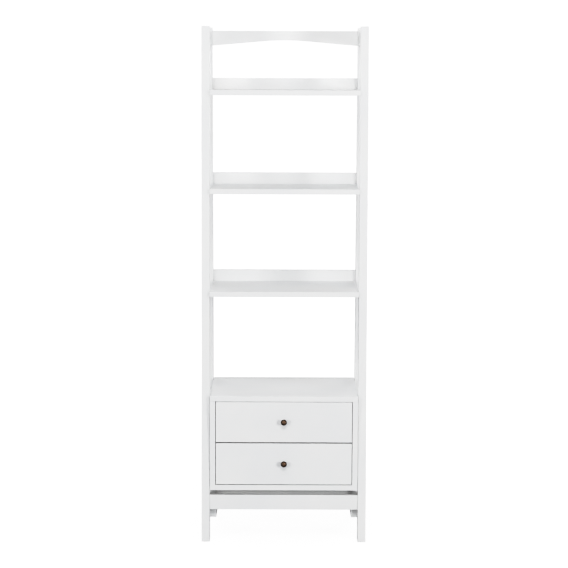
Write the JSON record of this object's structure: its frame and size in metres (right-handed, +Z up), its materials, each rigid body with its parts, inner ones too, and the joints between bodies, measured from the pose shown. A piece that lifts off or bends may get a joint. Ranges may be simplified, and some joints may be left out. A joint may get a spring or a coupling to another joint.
{
  "type": "ladder shelf with drawers",
  "caption": "Tall narrow ladder bookcase with raked legs, open shelves with low back rails, an arched top rail and a low cabinet with sliding drawers and round knobs.",
  "frame": {"origin": "on the floor, in the middle of the footprint, knobs included", "axes": "+X to the right, +Y to the back, +Z up; the drawers open towards -Y"},
  "size_m": [0.61, 0.4629, 1.905],
  "materials": {
    "white_paint": "white satin paint over solid wood and board",
    "drawer_wood": "clear satin lacquer",
    "beech": "bare fluted beech",
    "aged_bronze": "dark aged bronze, rubbed lighter on the dome",
    "runner_steel": "bright zinc plate",
    "screw_steel": "zinc plate",
    "glide_plastic": "moulded"
  },
  "bodies": {
    "frame": {"arched_top_rail": "white_paint", "cabinet_back_panel": "white_paint", "cabinet_bolts": "screw_steel", "cabinet_bottom": "white_paint", "cabinet_dowels": "beech", "cabinet_side_left": "white_paint", "cabinet_side_right": "white_paint", "cabinet_top": "white_paint", "floor_glides": "glide_plastic", "frame_dowels": "beech", "front_cleat": "white_paint", "front_leg_left": "white_paint", "front_leg_right": "white_paint", "front_lower_rail": "white_paint", "lower_runner_cabinet_left": "runner_steel", "lower_runner_cabinet_right": "runner_steel", "lower_shelf": "white_paint", "lower_shelf_back_rail": "white_paint", "middle_shelf": "white_paint", "middle_shelf_back_rail": "white_paint", "rear_leg_left": "white_paint", "rear_leg_right": "white_paint", "rear_lower_rail": "white_paint", "shelf_dowels": "beech", "support_rail_left": "white_paint", "support_rail_right": "white_paint", "support_rail_screws": "screw_steel", "top_side_rail_left": "white_paint", "top_side_rail_right": "white_paint", "upper_runner_cabinet_left": "runner_steel", "upper_runner_cabinet_right": "runner_steel", "upper_shelf": "white_paint", "upper_shelf_back_rail": "white_paint"},
    "upper_drawer": {"upper_drawer_bottom": "drawer_wood", "upper_drawer_box_back": "drawer_wood", "upper_drawer_box_front": "drawer_wood", "upper_drawer_front": "white_paint", "upper_drawer_front_screws": "screw_steel", "upper_drawer_knob": "aged_bronze", "upper_drawer_knob_screw": "screw_steel", "upper_drawer_side_left": "drawer_wood", "upper_drawer_side_right": "drawer_wood", "upper_runner_drawer_left": "runner_steel", "upper_runner_drawer_right": "runner_steel"},
    "lower_drawer": {"lower_drawer_bottom": "drawer_wood", "lower_drawer_box_back": "drawer_wood", "lower_drawer_box_front": "drawer_wood", "lower_drawer_front": "white_paint", "lower_drawer_front_screws": "screw_steel", "lower_drawer_knob": "aged_bronze", "lower_drawer_knob_screw": "screw_steel", "lower_drawer_side_left": "drawer_wood", "lower_drawer_side_right": "drawer_wood", "lower_runner_drawer_left": "runner_steel", "lower_runner_drawer_right": "runner_steel"},
    "upper_runner_slide": {"upper_runner_middle_left": "runner_steel", "upper_runner_middle_right": "runner_steel"},
    "lower_runner_slide": {"lower_runner_middle_left": "runner_steel", "lower_runner_middle_right": "runner_steel"}
  },
  "joints": [
    {"name": "upper_drawer_slide", "type": "slide", "parent": "frame", "child": "upper_drawer", "axis": [0, -1, 0], "range_m": [0, 0.35]},
    {"name": "upper_runner_extension", "type": "slide", "parent": "frame", "child": "upper_runner_slide", "axis": [0, -1, 0], "range_m": [0, 0.175]},
    {"name": "lower_drawer_slide", "type": "slide", "parent": "frame", "child": "lower_drawer", "axis": [0, -1, 0], "range_m": [0, 0.35]},
    {"name": "lower_runner_extension", "type": "slide", "parent": "frame", "child": "lower_runner_slide", "axis": [0, -1, 0], "range_m": [0, 0.175]}
  ],
  "couplings": [
    {"joint": "upper_runner_extension", "follows": "upper_drawer_slide", "ratio": 0.5},
    {"joint": "lower_runner_extension", "follows": "lower_drawer_slide", "ratio": 0.5}
  ]
}
